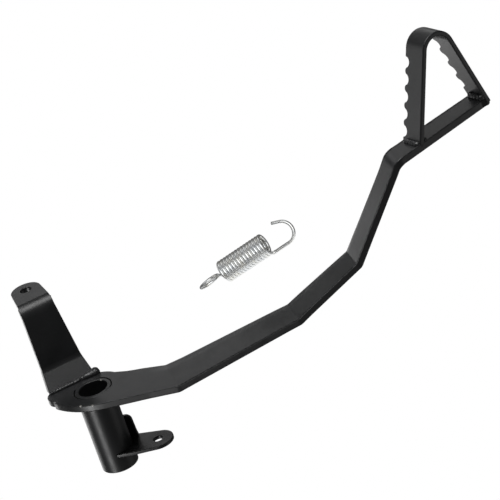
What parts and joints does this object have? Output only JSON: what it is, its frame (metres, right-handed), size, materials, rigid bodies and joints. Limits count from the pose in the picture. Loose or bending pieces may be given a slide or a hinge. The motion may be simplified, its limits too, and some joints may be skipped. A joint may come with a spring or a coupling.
{
  "type": "foot brake pedal",
  "caption": "Bent plate foot brake pedal with a pivot tube, a rod bracket, a toothed foot loop and a loose return spring.",
  "frame": {"origin": "centre of the pivot bore, level with the lever plate's top face", "axes": "+Z along the pivot bore away from the tube, on the side the foot loop stands up; +X square to the lever's bends, towards the foot loop; +Y completes a right-handed set, on the rod bracket's side"},
  "size_m": [0.3204, 0.187, 0.2509],
  "materials": {
    "black_coat": "satin black powder coat over steel",
    "weld_coated": "satin black powder coat over rough weld metal",
    "bright_zinc": "bright zinc plate on drawn spring wire"
  },
  "bodies": {
    "pedal": {"lever_eye": "black_coat", "lever_arm": "black_coat", "pivot_tube": "black_coat", "rod_bracket": "black_coat", "spring_tab": "black_coat", "foot_loop": "black_coat", "weld_tube_under": "weld_coated", "weld_tube_top": "weld_coated", "weld_bracket_front": "weld_coated", "weld_bracket_rear": "weld_coated", "weld_bracket_corner": "weld_coated", "weld_tab_ear": "weld_coated", "weld_tab_under": "weld_coated", "weld_loop_left_outer": "weld_coated", "weld_loop_left_inner": "weld_coated", "weld_loop_right_inner": "weld_coated", "weld_loop_right_end": "weld_coated"},
    "spring_eye_end": {"spring_eye": "bright_zinc", "spring_coil": "bright_zinc"},
    "spring_hook_end": {"spring_hook": "bright_zinc"}
  },
  "joints": [
    {"name": "spring_lift_off", "type": "slide", "parent": "pedal", "child": "spring_eye_end", "axis": [0, 0, 1], "range_m": [0, 0.06]},
    {"name": "spring_stretch", "type": "slide", "parent": "spring_eye_end", "child": "spring_hook_end", "axis": [0.8585, -0.3486, 0.3762], "range_m": [0, 0.03], "stiffness_N_per_m": 6900, "deforming": ["spring_coil"]}
  ]
}
